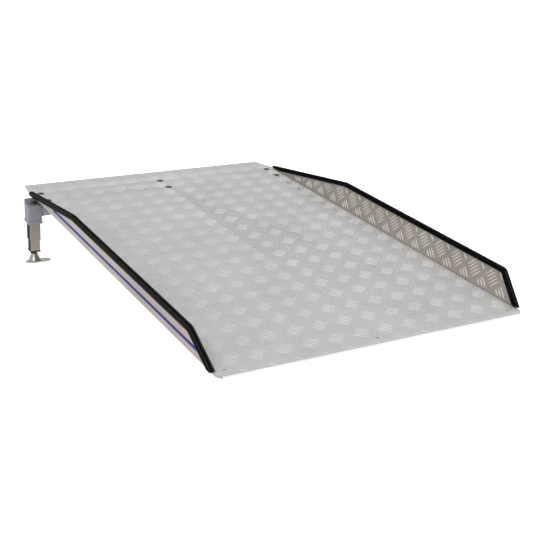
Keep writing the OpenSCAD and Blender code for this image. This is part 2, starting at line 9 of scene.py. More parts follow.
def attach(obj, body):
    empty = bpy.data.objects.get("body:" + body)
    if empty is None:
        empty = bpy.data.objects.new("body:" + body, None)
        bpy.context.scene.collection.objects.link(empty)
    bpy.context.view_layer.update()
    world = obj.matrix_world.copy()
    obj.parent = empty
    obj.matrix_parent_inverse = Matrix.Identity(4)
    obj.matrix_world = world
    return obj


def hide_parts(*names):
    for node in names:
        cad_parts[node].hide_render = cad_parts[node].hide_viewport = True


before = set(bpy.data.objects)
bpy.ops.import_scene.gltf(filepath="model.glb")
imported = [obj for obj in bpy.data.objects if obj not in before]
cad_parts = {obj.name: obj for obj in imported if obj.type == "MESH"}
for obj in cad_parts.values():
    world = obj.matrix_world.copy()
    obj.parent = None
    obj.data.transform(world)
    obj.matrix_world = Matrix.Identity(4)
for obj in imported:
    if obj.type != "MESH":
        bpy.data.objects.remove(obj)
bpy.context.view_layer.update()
random.seed(11)

# ---------------------------------------------------------------- driving dimensions, in mm

MM = 0.001
DECK_LEN = 1000
PLATE_T = 3
BEND_X = 315
BEND_R = 3
FLARE = math.radians(12)
WALL_H = 54
WALL_TOP_END = 934
WALL_TOP_H = 2
WALL_KINK = 624
WALL_LOW_KINK = 78
WALL_LOW_END = 19
KINK_R = 70
LOW_KINK_R = 17
TRIM_W = 11
TRIM_H = 10
TRIM_CROWN = 2.6
TRIM_LOWEST = 0.5
TRIM_REACH = 3
STRIPE_H = 19
STRIPE_W = 8
STRIPE_T = 0.3
SCREW_X = 297
PIVOT_V = 907
RIVET_V = 20
LEG_X = 324
BALL_DROP = 142
BALL_H = 12
PAD_T = 2
PAD_V = 4
STRIP_EDGE_X = 320.2
CORNER_X = 321
HIGH_CUT = {-1: 7, 1: 20}
HIGH_CORNER_V = 944
LOW_CORNER_R = 18

# The slope follows from the leg's length, as in the CAD.
leg_run = PIVOT_V - PAD_V
leg_drop = BALL_DROP - PLATE_T - PAD_T
SLOPE = math.atan2(leg_drop, leg_run) + math.asin(BALL_H / math.hypot(leg_run, leg_drop))
SHIFT_Z = (PLATE_T + PAD_T) * math.cos(SLOPE) - PAD_V * math.sin(SLOPE)
SHIFT_Y = -(DECK_LEN * math.cos(SLOPE) + PLATE_T * math.sin(SLOPE)) / 2
DECK_FRAME = (
    Matrix.Translation((0, SHIFT_Y * MM, SHIFT_Z * MM))
    @ Matrix.Rotation(SLOPE, 4, "X")
    @ Matrix.Scale(MM, 4)
)
MIRROR = Matrix.Scale(-1, 4, (1, 0, 0))
SIDES = {"left": -1, "right": 1}


def at_deck(x, v, w):
    """Matrix of a place on the deck's frame, in mm."""
    return DECK_FRAME @ Matrix.Translation((x, v, w))


def at_leg(side, w=0):
    """A leg's axis at depth w, with X pointing outwards."""
    flip = MIRROR if side < 0 else Matrix.Identity(4)
    return DECK_FRAME @ flip @ Matrix.Translation((LEG_X, PIVOT_V, w))


def at_foot(side):
    """The ground under a foot's ball, level, with X pointing outwards."""
    ball = at_leg(1, -BALL_DROP).to_translation()
    ground = Matrix.Translation((ball.x * side, ball.y, ball.z - BALL_H * MM))
    flip = MIRROR if side < 0 else Matrix.Identity(4)
    return ground @ flip @ Matrix.Scale(MM, 4)


def at_wall(side):
    """An upstand's frame: X square to the plate, Z up the plate, 0 at the bend's centre."""
    flip = MIRROR if side < 0 else Matrix.Identity(4)
    lean = Matrix.Rotation(FLARE, 4, "Y")
    return DECK_FRAME @ flip @ Matrix.Translation((BEND_X, 0, BEND_R)) @ lean


# ---------------------------------------------------------------- materials

MAT = {}
# Stretch of the grain along X, Y and Z. A streak runs along the axis with the small share.
EVEN = (1, 1, 1)
ROLLED = (1, 0.15, 1)
ROLLED_EDGE = (1, 0.1, 1)
DRAWN_ALONG_RIB = (1, 0.2, 1)
DRAWN_ACROSS = (0.2, 1, 1)
DRAWN_DOWN_LEG = (1, 1, 0.08)
PRESSED = (1, 1, 0.4)
NOISE_ROUGHNESS = 0.55
STAIN_SCALE = 9.0
MOTTLE_SCALE = 40.0
SMUDGE_SCALE = 60.0
GRAIN_DEPTH = 0.0002
STREAK_SHADE = (0.82, 0.82, 0.82)
STREAK_SHARE = 0.8
WHITE = (1, 1, 1)


def sockets(mat):
    return mat.node_tree.nodes["Principled BSDF"].inputs


def new_material(name, colour, roughness, metallic=0.0, specular=0.5):
    """A plain material, kept in MAT under its name."""
    mat = bpy.data.materials.new(name)
    mat.use_nodes = True
    mat.diffuse_color = (*colour, 1)
    sockets(mat)["Base Color"].default_value = (*colour, 1)
    sockets(mat)["Roughness"].default_value = roughness
    sockets(mat)["Metallic"].default_value = metallic
    sockets(mat)["Specular IOR Level"].default_value = specular
    MAT[name] = mat
    return mat


def add_node(mat, kind):
    return mat.node_tree.nodes.new(kind)


def join(mat, source, target):
    mat.node_tree.links.new(source, target)


def noise(mat, scale, detail, stretch=EVEN):
    """Noise in the object's own coordinates, stretched along its axes."""
    place = add_node(mat, "ShaderNodeTexCoord")
    mapping = add_node(mat, "ShaderNodeMapping")
    mapping.inputs["Scale"].default_value = stretch
    join(mat, place.outputs["Object"], mapping.inputs["Vector"])
    made = add_node(mat, "ShaderNodeTexNoise")
    made.inputs["Scale"].default_value = scale
    made.inputs["Detail"].default_value = detail
    made.inputs["Roughness"].default_value = NOISE_ROUGHNESS
    join(mat, mapping.outputs["Vector"], made.inputs["Vector"])
    return made.outputs["Fac"]


def ramp(mat, fac, low, high, colour_low, colour_high):
    made = add_node(mat, "ShaderNodeValToRGB")
    made.color_ramp.elements[0].position = low
    made.color_ramp.elements[0].color = (*colour_low, 1)
    made.color_ramp.elements[1].position = high
    made.color_ramp.elements[1].color = (*colour_high, 1)
    join(mat, fac, made.inputs["Fac"])
    return made.outputs["Color"]


def shaded(mat, colour, shade):
    """A colour darkened by a shade; inputs 6 and 7 and output 2 are the node's colours."""
    made = add_node(mat, "ShaderNodeMix")
    made.data_type = "RGBA"
    made.blend_type = "MULTIPLY"
    made.inputs[0].default_value = STREAK_SHARE
    join(mat, colour, made.inputs[6])
    join(mat, shade, made.inputs[7])
    return made.outputs[2]


def set_colour(mat, colour):
    join(mat, colour, sockets(mat)["Base Color"])


def set_roughness(mat, fac, low, high):
    made = add_node(mat, "ShaderNodeMapRange")
    made.inputs["To Min"].default_value = low
    made.inputs["To Max"].default_value = high
    join(mat, fac, made.inputs["Value"])
    join(mat, made.outputs["Result"], sockets(mat)["Roughness"])


def set_bump(mat, fac, strength):
    made = add_node(mat, "ShaderNodeBump")
    made.inputs["Strength"].default_value = strength
    made.inputs["Distance"].default_value = GRAIN_DEPTH
    join(mat, fac, made.inputs["Height"])
    join(mat, made.outputs["Normal"], sockets(mat)["Normal"])


def between_colours(dark, light):
    return tuple((a + b) / 2 for a, b in zip(dark, light))


def metal(name, dark, light, roughness, metallic, grain, streak=EVEN, bump=0.15, specular=0.5):
    """Metal with cloudy staining, fine grain and drawn or rolled streaks along one axis."""
    mat = new_material(name, between_colours(dark, light), roughness, metallic, specular)
    clouds = ramp(mat, noise(mat, STAIN_SCALE, 5.0), 0.3, 0.7, dark, light)
    lines = noise(mat, grain, 3.0, streak)
    shade = ramp(mat, lines, 0.3, 0.72, STREAK_SHADE, WHITE)
    set_colour(mat, shaded(mat, clouds, shade))
    set_roughness(mat, noise(mat, SMUDGE_SCALE, 4.0), roughness - 0.07, roughness + 0.09)
    set_bump(mat, lines, bump)


def moulded(name, dark, light, roughness, grain, bump=0.25, specular=0.5):
    """Rubber, plastic, paint or painted casting with a fine grain."""
    mat = new_material(name, between_colours(dark, light), roughness, specular=specular)
    fine = noise(mat, grain, 3.0)
    set_colour(mat, ramp(mat, noise(mat, MOTTLE_SCALE, 5.0), 0.3, 0.72, dark, light))
    set_roughness(mat, fine, roughness - 0.08, roughness + 0.12)
    set_bump(mat, fine, bump)


# The bent sheet: roadway, bars, cut edge, both sides of the upstands, the bend and the underside.
metal("tread_plate", (0.55, 0.545, 0.54), (0.61, 0.605, 0.60), 0.46, 0.12, 420.0, ROLLED)
metal("tread_bar", (0.56, 0.555, 0.55), (0.64, 0.635, 0.63), 0.40, 0.15, 600.0, bump=0.08)
# The cut edge is bare cut metal, lightened further as a painted highlight.
metal("cut_edge_and_highlight", (0.60, 0.60, 0.59), (0.70, 0.70, 0.70), 0.34, 0.2, 900.0, ROLLED_EDGE, 0.05)
# Painted shade: the upstand's inner face is a darker, warmer copy of the roadway's plate.
metal("upstand_inner_shade", (0.25, 0.222, 0.192), (0.32, 0.29, 0.255), 0.40, 0.25, 420.0, ROLLED)
# Painted highlight: the bars on the upstands get a lighter, warmer finish than the plate around them.
metal("upstand_bar_highlight", (0.54, 0.505, 0.46), (0.70, 0.67, 0.63), 0.26, 0.4, 600.0, bump=0.08)
# Painted shade: the inner crease of the bend is a near black copy of the sheet.
metal("bend_crease_shade", (0.13, 0.11, 0.09), (0.20, 0.17, 0.145), 0.5, 0.1, 420.0, ROLLED)
metal("upstand_outer", (0.245, 0.205, 0.187), (0.31, 0.265, 0.245), 0.45, 0.1, 420.0, ROLLED)
metal("underside", (0.20, 0.175, 0.155), (0.28, 0.25, 0.23), 0.42, 0.3, 420.0, ROLLED)
# Rubber, paint, castings and plastics.
moulded("edge_rubber", (0.0015, 0.0015, 0.0017), (0.004, 0.004, 0.0045), 0.6, 1500.0, 0.2, 0.03)
# Painted highlight: a lighter rubber along the trim's two ridges.
moulded("rubber_ridge_highlight", (0.025, 0.025, 0.025), (0.05, 0.05, 0.05), 0.5, 1500.0, 0.2, 0.2)
moulded("blue_stripe", (0.005, 0.018, 0.13), (0.009, 0.03, 0.17), 0.5, 900.0, 0.05, 0.04)
moulded("cast_grey", (0.155, 0.158, 0.18), (0.19, 0.193, 0.217), 0.5, 1100.0, 0.35, 0.3)
moulded("nylon", (0.72, 0.70, 0.62), (0.80, 0.78, 0.70), 0.4, 1200.0, 0.05)
moulded("strip_rubber", (0.012, 0.012, 0.012), (0.03, 0.03, 0.03), 0.6, 1300.0, 0.4)
moulded("black_plastic", (0.004, 0.004, 0.005), (0.010, 0.010, 0.011), 0.4, 1400.0, 0.2, 0.15)
# Tubes, fasteners and feet.
metal("plain_aluminium", (0.50, 0.50, 0.50), (0.60, 0.60, 0.60), 0.38, 0.5, 500.0, DRAWN_ACROSS)
metal("rib_aluminium", (0.48, 0.48, 0.48), (0.58, 0.58, 0.58), 0.40, 0.5, 500.0, DRAWN_ALONG_RIB)
metal("leg_aluminium", (0.20, 0.168, 0.152), (0.25, 0.213, 0.195), 0.40, 0.25, 700.0, DRAWN_DOWN_LEG, 0.1)
# Painted dark reflection: the outward face of each leg tube is a near black copy of the leg's aluminium.
metal(
    "leg_outer_painted_reflection",
    (0.012, 0.010, 0.009),
    (0.026, 0.022, 0.019),
    0.55,
    0.0,
    700.0,
    DRAWN_DOWN_LEG,
    bump=0.1,
    specular=0.02,
)
metal("dark_screws", (0.045, 0.038, 0.033), (0.10, 0.085, 0.072), 0.42, 0.4, 1500.0, bump=0.2)
metal("rivet_aluminium", (0.34, 0.34, 0.34), (0.62, 0.62, 0.62), 0.34, 0.7, 1800.0, bump=0.1)
metal("brass", (0.55, 0.38, 0.13), (0.68, 0.50, 0.20), 0.3, 0.9, 1500.0)
metal("zinc_steel", (0.45, 0.44, 0.40), (0.62, 0.60, 0.55), 0.28, 0.75, 1200.0, bump=0.12)
metal("pressed_steel", (0.07, 0.065, 0.058), (0.60, 0.59, 0.56), 0.2, 0.9, 260.0, PRESSED, 0.1)
metal("dark_steel", (0.06, 0.055, 0.05), (0.16, 0.15, 0.14), 0.25, 0.85, 900.0, bump=0.1)
metal("bright_steel", (0.50, 0.49, 0.46), (0.66, 0.65, 0.62), 0.24, 0.85, 1200.0, bump=0.08)
metal("weld", (0.38, 0.38, 0.38), (0.55, 0.55, 0.55), 0.4, 0.6, 800.0, bump=0.4)

# ---------------------------------------------------------------- mesh helpers

# Faces larger than this, in square metres, are flat ones and are shaded flat.
LARGEST_SMOOTH = 1e-4
SAME_POINT = 2e-6
SAME_PLANE = math.radians(0.4)


def make_object(name, bm, materials, body, nodes=(), sharp=35):
    """Turns a mesh into a piece that rides on a body and stands in for CAD nodes."""
    bmesh.ops.recalc_face_normals(bm, faces=bm.faces)
    mesh = bpy.data.meshes.new(name)
    bm.to_mesh(mesh)
    bm.free()
    for mat in materials:
        mesh.materials.append(MAT[mat])
    mesh.polygons.foreach_set("use_smooth", [face.area < LARGEST_SMOOTH for face in mesh.polygons])
    mesh.set_sharp_from_angle(angle=math.radians(sharp))
    obj = bpy.data.objects.new(name, mesh)
    bpy.context.scene.collection.objects.link(obj)
    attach(obj, body)
    if nodes:
        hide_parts(*nodes)


def cad_mesh(node):
    """A node's surface with its coplanar triangles joined into whole faces."""
    bm = bmesh.new()
    bm.from_mesh(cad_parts[node].data)
    bmesh.ops.remove_doubles(bm, verts=bm.verts, dist=SAME_POINT)
    bmesh.ops.dissolve_limit(
        bm, angle_limit=SAME_PLANE, verts=bm.verts, edges=bm.edges, delimit={"NORMAL"}
    )
    return bm


def round_edges(bm, width, segments=2, sharpest=32, wanted=None, material=-1):
    """Rounds the sharp edges of a mesh whose middles pass the test wanted(), if it is given."""
    bm.normal_update()
    chosen = []
    for edge in bm.edges:
        if len(edge.link_faces) != 2:
            continue
        if edge.calc_face_angle(0) < math.radians(sharpest):
            continue
        middle = (edge.verts[0].co + edge.verts[1].co) / 2
        if wanted is None or wanted(middle):
            chosen.append(edge)
    bmesh.ops.bevel(
        bm,
        geom=chosen,
        offset=width * MM,
        offset_type="OFFSET",
        segments=segments,
        profile=0.5,
        affect="EDGES",
        clamp_overlap=True,
        material=material,
    )
    return bm


def refined(node, material, body, width, suffix, segments=2):
    """A node's own shape with its sharp edges rounded."""
    bm = round_edges(cad_mesh(node), width, segments)
    make_object(f"{node}_{suffix}", bm, (material,), body, (node,))


def lathe(bm, profile, place, steps):
    """A surface turned about Z from [radius, height] points in mm, put in place by a matrix.
    A profile that neither starts nor ends on the axis is closed into a ring."""
    rings = []
    for radius, height in profile:
        if radius < 1e-6:
            rings.append([bm.verts.new(place @ Vector((0, 0, height)))])
            continue
        ring = []
        for k in range(steps):
            a = 2 * math.pi * k / steps
            ring.append(bm.verts.new(place @ Vector((radius * math.cos(a), radius * math.sin(a), height))))
        rings.append(ring)
    closing = [rings[0]] if len(rings[0]) > 1 else []
    for low, high in zip(rings, rings[1:] + closing):
        for k in range(steps):
            n = (k + 1) % steps
            if len(low) == 1 and len(high) == 1:
                continue
            if len(low) == 1:
                bm.faces.new((low[0], high[k], high[n]))
            elif len(high) == 1:
                bm.faces.new((low[k], low[n], high[0]))
            else:
                bm.faces.new((low[k], low[n], high[n], high[k]))


def arc_points(a, corner, b, radius, steps):
    """Points of an arc that rounds a corner between a and b."""
    a, corner, b = Vector(a), Vector(corner), Vector(b)
    u = (a - corner).normalized()
    v = (b - corner).normalized()
    half = u.angle(v) / 2
    centre = corner + (u + v).normalized() * radius / math.sin(half)
    start = corner + u * radius / math.tan(half) - centre
    end = corner + v * radius / math.tan(half) - centre
    turn = start.angle_signed(end)
    points = []
    for k in range(steps + 1):
        spin = Matrix.Rotation(-turn * k / steps, 2)
        points.append(centre + spin @ start)
    return points


# ---------------------------------------------------------------- the bent sheet

RISE = math.atan((WALL_H - WALL_TOP_H) / (WALL_TOP_END - WALL_KINK))
DROP = math.atan(WALL_H / (WALL_LOW_KINK - WALL_LOW_END))
BEND_TURN = math.pi / 2 - FLARE
BEND_LEN = (BEND_R + PLATE_T / 2) * BEND_TURN


def sheet_point(s, v, h):
    """A place on the bent sheet: s is the distance from the middle along the flattened sheet,
    v the distance from the low edge and h the height above the inner face."""
    side = -1 if s < 0 else 1
    a = abs(s)
    if a <= BEND_X:
        return Vector((side * a, v, h))
    r = BEND_R - h
    if a <= BEND_X + BEND_LEN:
        turn = (a - BEND_X) / BEND_LEN * BEND_TURN
        return Vector((side * (BEND_X + r * math.sin(turn)), v, BEND_R - r * math.cos(turn)))
    up = a - BEND_X - BEND_LEN
    x = BEND_X + r * math.cos(FLARE) + up * math.sin(FLARE)
    return Vector((side * x, v, BEND_R - r * math.sin(FLARE) + up * math.cos(FLARE)))


def wall_height(v):
    """Height of the upstand plate at v, without the rounding of its kinks."""
    if v > WALL_TOP_END or v < WALL_LOW_END:
        return -1
    climb = WALL_TOP_H + (WALL_TOP_END - v) * math.tan(RISE)
    fall = (v - WALL_LOW_END) * math.tan(DROP)
    return min(WALL_H, climb, fall)


TRIM_LIP = TRIM_H - TRIM_CROWN
BAR_LEN = 28
BAR_W = 4.2
BAR_H = 0.8
BAR_GAP = 6.8
BARS = 5
PITCH_X = 51.8
PITCH_V = 53.3
PATTERN_X = -14
PATTERN_V = 953.4
SCREW_V = (PIVOT_V - 25, PIVOT_V + 25)
EDGE_CLEAR = 2.2
SCREW_CLEAR = 9.6
RIVET_CLEAR = 5
# A bar's section as [share of the width, share of the height], its foot sunk into the sheet.
BAR_FOOT = -0.25
BAR_SECTION = (
    (-0.5, BAR_FOOT),
    (-0.36, 0.55),
    (-0.13, 1.0),
    (0.13, 1.0),
    (0.36, 0.55),
    (0.5, BAR_FOOT),
)
BAR_SAMPLES = 14
FEWEST_SAMPLES = 7
BAR_STATIONS = 10
# Finishes of the bent sheet. The upstand's inner face and the bend's crease are painted shade; the upstand
# bars and the cut edge carry painted highlight.
DECK_FINISHES = (
    "tread_plate",
    "cut_edge_and_highlight",
    "tread_bar",
    "upstand_inner_shade",
    "underside",
    "upstand_outer",
    "upstand_bar_highlight",
    "bend_crease_shade",
)


def room_for_bar(s, v):
    """True where a raised bar may stand: on the sheet, clear of its edges, screws and trim."""
    a = abs(s)
    if v < EDGE_CLEAR or v > DECK_LEN - EDGE_CLEAR:
        return False
    if a <= BEND_X + 2:
        if v > HIGH_CORNER_V:
            cut = HIGH_CUT[-1 if s < 0 else 1]
            slant = CORNER_X - cut * (v - HIGH_CORNER_V) / (DECK_LEN - HIGH_CORNER_V)
            if a > slant - EDGE_CLEAR - 1:
                return False
        corner = STRIP_EDGE_X + 0.3 - LOW_CORNER_R
        if a > corner and v < LOW_CORNER_R:
            if math.hypot(a - corner, LOW_CORNER_R - v) > LOW_CORNER_R - EDGE_CLEAR - 1:
                return False
        for x in (-SCREW_X, 0, SCREW_X):
            if min(math.hypot(s - x, v - y) for y in SCREW_V) < SCREW_CLEAR:
                return False
            if math.hypot(s - x, v - RIVET_V) < RIVET_CLEAR:
                return False
        return a < BEND_X - 1
    if v > WALL_TOP_END - 2 or v < WALL_LOW_END + 2:
        return False
    up = a - BEND_X - BEND_LEN
    slant = DROP if v < WALL_LOW_KINK else RISE
    return 0 < up < wall_height(v) - TRIM_LIP / math.cos(slant) - 0.8


def add_bar(bm, centre, along, material):
    """One raised bar with a rounded crest and pointed ends, cut short where the sheet ends."""
    across = Vector((-along.y, along.x))
    good = []
    best = []
    for k in range(BAR_SAMPLES + 1):
        t = BAR_LEN * (k / BAR_SAMPLES - 0.5)
        p = centre + along * t
        if room_for_bar(p.x, p.y):
            good.append(t)
        else:
            best = max(best, good, key=len)
            good = []
    best = max(best, good, key=len)
    if len(best) < FEWEST_SAMPLES:
        return
    t0, t1 = best[0], best[-1]
    rings = []
    for k in range(1, BAR_STATIONS):
        u = k / BAR_STATIONS
        t = t0 + (t1 - t0) * u
        width = BAR_W * min(1, (math.sin(math.pi * u)) ** 0.55)
        height = BAR_H * min(1, (math.sin(math.pi * u) * 1.5) ** 0.6)
        ring = []
        for a, h in BAR_SECTION:
            p = centre + along * t + across * a * width
            ring.append(bm.verts.new(DECK_FRAME @ sheet_point(p.x, p.y, h * (height if h > 0 else 1))))
        rings.append(ring)
    tips = []
    for t in (t0, t1):
        p = centre + along * t
        tips.append(bm.verts.new(DECK_FRAME @ sheet_point(p.x, p.y, BAR_FOOT)))
    faces = []
    sides = len(BAR_SECTION)
    for low, high in zip(rings, rings[1:]):
        for i in range(sides):
            n = (i + 1) % sides
            faces.append(bm.faces.new((low[i], low[n], high[n], high[i])))
    for tip, ring in ((tips[0], rings[0]), (tips[1], rings[-1])):
        for i in range(sides):
            faces.append(bm.faces.new((tip, ring[i], ring[(i + 1) % sides])))
    for face in faces:
        face.material_index = material


def add_tread(bm):
    """Groups of five bars, the groups turned a right angle from their neighbours."""
    reach = BEND_X + BEND_LEN + WALL_H
    columns = int(reach / PITCH_X) + 2
    rows = int(DECK_LEN / PITCH_V) + 3
    root = math.sqrt(0.5)
    kinds = (
        (0.0, Vector((root, -root))),
        (0.5, Vector((root, root))),
    )
    for shift, along in kinds:
        across = Vector((-along.y, along.x))
        for i in range(-columns, columns + 1):
            for j in range(-2, rows):
                middle = Vector((PATTERN_X + PITCH_X * (i + shift), PATTERN_V - PITCH_V * (j - shift)))
                if abs(middle.x) > reach + BAR_LEN or not -BAR_LEN < middle.y < DECK_LEN + BAR_LEN:
                    continue
                on_wall = abs(middle.x) > BEND_X + BEND_LEN / 2
                # Bars on the upstands take the lighter finish, a painted highlight.
                finish = DECK_FINISHES.index("upstand_bar_highlight" if on_wall else "tread_bar")
                for b in range(BARS):
                    spot = middle + across * BAR_GAP * (b - (BARS - 1) / 2)
                    add_bar(bm, spot, along, finish)


def sheet_finish(p, normal):
    """The finish of a face of the bent sheet, from its place and its normal on the deck's frame."""
    outwards = normal.x * p.x > 0
    # End faces take the cut edge finish: bare metal with a painted highlight.
    if abs(normal.y) > 0.9:
        return "cut_edge_and_highlight"
    if normal.z < -0.45:
        return "underside"
    if abs(normal.x) <= 0.4:
        return "tread_plate"
    if outwards:
        return "upstand_outer"
    # The inner face of the upstand and the crease of the bend take painted shade.
    return "bend_crease_shade" if normal.z > 0.45 else "upstand_inner_shade"


def build_deck():
    bm = cad_mesh("deck_sheet")
    inverse = DECK_FRAME.inverted()
    screw_hole_reach = 10

    def on_outline(middle):
        p = inverse @ middle
        near_screw = any(
            math.hypot(abs(p.x) - x, p.y - y) < screw_hole_reach for x in (0, SCREW_X) for y in SCREW_V
        )
        near_rivet = any(math.hypot(abs(p.x) - x, p.y - RIVET_V) < RIVET_CLEAR for x in (0, SCREW_X))
        return not near_screw and not near_rivet

    # The rounded outline takes the cut edge finish: bare metal with a painted highlight.
    cut_edge_and_highlight = DECK_FINISHES.index("cut_edge_and_highlight")
    round_edges(bm, 0.7, sharpest=40, wanted=on_outline, material=cut_edge_and_highlight)
    for face in bm.faces:
        if face.material_index == cut_edge_and_highlight:
            continue
        p = inverse @ face.calc_center_median()
        normal = (inverse.to_3x3() @ face.normal).normalized()
        face.material_index = DECK_FINISHES.index(sheet_finish(p, normal))
    add_tread(bm)
    make_object("deck_tread_plate", bm, DECK_FINISHES, "deck", ("deck_sheet",), sharp=28)


# ---------------------------------------------------------------- edge trims and stripes

# Steps of the trim's section that form the two ridges on its crown; their faces carry a lighter rubber as
# a painted highlight.
HIGHLIGHT_RIDGES = (3, 11)
HIGH_STATIONS = 10
STATION_STEP = 5
PAST_LOW_END = 12


def wall_path(steps):
    """The upstand's edge as [along the deck, up the plate], from its high end to its low end."""
    top_end = (WALL_TOP_END, WALL_TOP_H)
    kink = (WALL_KINK, WALL_H)
    low_kink = (WALL_LOW_KINK, WALL_H)
    low_end = (WALL_LOW_END, 0)
    past = (WALL_LOW_END - PAST_LOW_END, -PAST_LOW_END * math.tan(DROP))
    path = [Vector(top_end)]
    for k in range(1, HIGH_STATIONS + 1):
        v = WALL_TOP_END - STATION_STEP * k
        path.append(Vector((v, wall_height(v))))
    path += arc_points(top_end, kink, low_kink, KINK_R, steps)
    path += arc_points(kink, low_kink, low_end, LOW_KINK_R, steps)
    path += [Vector(low_end), Vector(past)]
    return path


def trim_section():
    """The rubber profile as [offset from the plate's middle, height above the plate's edge]."""
    half = TRIM_W / 2
    slot = PLATE_T / 2
    top = TRIM_CROWN
    shoulder = [
        (half, 0.1),
        (half - 0.2, 1.1),
        (half - 0.9, 2.0),
        (half - 1.9, top - 0.1),
        (half - 2.8, top - 0.15),
        (half - 3.2, top - 0.8),
        (half - 3.6, top - 0.1),
        (0.6, top),
    ]
    dome = [(-x, n) for x, n in shoulder] + [(x, n) for x, n in reversed(shoulder)]
    groove = [(half, -2.1), (half - 0.5, -2.5), (half, -2.9)]
    lip = [(half, -TRIM_LIP + 1.0), (half - 1.0, -TRIM_LIP), (slot + 0.6, -TRIM_LIP)]
    right = groove + lip + [(slot, -TRIM_LIP + 0.7), (slot, 0)]
    left = [(-x, n) for x, n in reversed(right)]
    return dome + right + left


def build_trim(name, side):
    """The section swept along the upstand's edge, with its lips held off the bend."""
    bm = bmesh.new()
    path = wall_path(10)
    section = trim_section()
    place = at_wall(side)
    middle = BEND_R + PLATE_T / 2
    rings = []
    for k, point in enumerate(path):
        before = path[max(k - 1, 0)]
        after = path[min(k + 1, len(path) - 1)]
        forward = (after - before).normalized()
        normal = Vector((-forward.y, forward.x))
        if normal.y < 0:
            normal = -normal
        if k == 0:
            normal = Vector((0, 1 / math.cos(RISE)))
        ring = []
        for a, n in section:
            spot = point + normal * n
            if point.x > WALL_KINK:
                spot.y = max(spot.y, -TRIM_REACH if a > 0 else TRIM_LOWEST)
            ring.append(bm.verts.new(Vector((middle + a, *spot))))
        rings.append(ring)
    for low, high in zip(rings, rings[1:]):
        for i in range(len(section)):
            n = (i + 1) % len(section)
            face = bm.faces.new((low[i], low[n], high[n], high[i]))
            # The ridge faces take the lighter rubber, a painted highlight.
            face.material_index = 1 if i in HIGHLIGHT_RIDGES else 0
    bm.faces.new(rings[0])
    bm.faces.new(list(reversed(rings[-1])))
    bmesh.ops.remove_doubles(bm, verts=bm.verts, dist=0.001)
    lower = [f for f in bm.faces if f.calc_center_median().y < WALL_KINK]
    corners = list({v for f in lower for v in f.verts})
    edges = list({e for f in lower for e in f.edges})
    cut = bmesh.ops.bisect_plane(
        bm,
        geom=corners + edges + lower,
        plane_co=(0, 0, TRIM_LOWEST),
        plane_no=(0, 0, 1),
        clear_inner=True,
    )
    rim = [g for g in cut["geom_cut"] if isinstance(g, bmesh.types.BMEdge)]
    bmesh.ops.edgenet_fill(bm, edges=rim)
    bmesh.ops.transform(bm, matrix=place, verts=bm.verts)
    make_object(
        f"{name}_profile", bm, ("edge_rubber", "rubber_ridge_highlight"), "deck", (name,), sharp=50
    )


def build_stripe(name, side):
    """A painted line with soft edges on the upstand's outer face."""
    top = STRIPE_H + STRIPE_W / 2
    gap = 0.5
    low = WALL_LOW_END + (top + TRIM_LIP / math.cos(DROP)) / math.tan(DROP) + gap
    high = WALL_TOP_END - (top + TRIM_LIP / math.cos(RISE) - WALL_TOP_H) / math.tan(RISE) - gap
    root = BEND_R + PLATE_T - 0.05
    brim = BEND_R + PLATE_T + STRIPE_T * 0.7
    face = BEND_R + PLATE_T + STRIPE_T
    half = STRIPE_W / 2
    soft = 0.5
    section = (
        (root, -half),
        (brim, -half),
        (face, -half + soft),
        (face, half - soft),
        (brim, half),
        (root, half),
    )
    bm = bmesh.new()
    steps = 24
    rings = []
    for k in range(steps + 1):
        v = low + (high - low) * k / steps
        rings.append([bm.verts.new(at_wall(side) @ Vector((x, v, STRIPE_H + z))) for x, z in section])
    for a, b in zip(rings, rings[1:]):
        for i in range(len(section)):
            n = (i + 1) % len(section)
            bm.faces.new((a[i], a[n], b[n], b[i]))
    bm.faces.new(rings[0])
    bm.faces.new(list(reversed(rings[-1])))
    make_object(f"{name}_line", bm, ("blue_stripe",), "deck", (name,))


# ---------------------------------------------------------------- rivets and welds

RIB_X = 160
RIB_FLANGE = 20.8
STITCHES = 5
STITCH_START = 200
STITCH_PITCH = 140
BEADS = 12
BEAD_PITCH = 3.4
BEAD_R = 2.2


def build_rivets():
    """Pop rivets: a domed flange with a dimple, the body and the mandrel's rest."""
    bm = bmesh.new()
    for x in (-SCREW_X, 0, SCREW_X):
        profile = [
            (1.0, -3.0),
            (1.0, 0.45),
            (1.35, 0.8),
            (2.0, 0.78),
            (2.9, 0.5),
            (3.5, 0.0),
            (3.5, -0.05),
            (2.0, -0.05),
            (2.0, -4.4),
            (1.6, -4.5),
            (0.001, -4.5),
            (0.001, -3.0),
        ]
        lathe(bm, profile, at_deck(x, RIVET_V, 0), 32)
    make_object("strip_rivets_turned", bm, ("rivet_aluminium",), "deck", ("strip_rivets",))


def build_welds():
    """Stitch welds along both flanges of each rib."""
    bm = bmesh.new()
    for rib_x in (-RIB_X, RIB_X):
        for edge in (-RIB_FLANGE, RIB_FLANGE):
            for stitch in range(STITCHES):
                for k in range(BEADS):
                    v = STITCH_START + STITCH_PITCH * stitch + BEAD_PITCH * k
                    place = at_deck(rib_x + edge, v, -PLATE_T)
                    bmesh.ops.create_uvsphere(
                        bm,
                        u_segments=10,
                        v_segments=6,
                        radius=BEAD_R + random.uniform(-0.15, 0.15),
                        matrix=place @ Matrix.Diagonal((0.9, 1, 0.8, 1)),
                    )
    make_object("rib_welds", bm, ("weld",), "deck")


# ---------------------------------------------------------------- legs

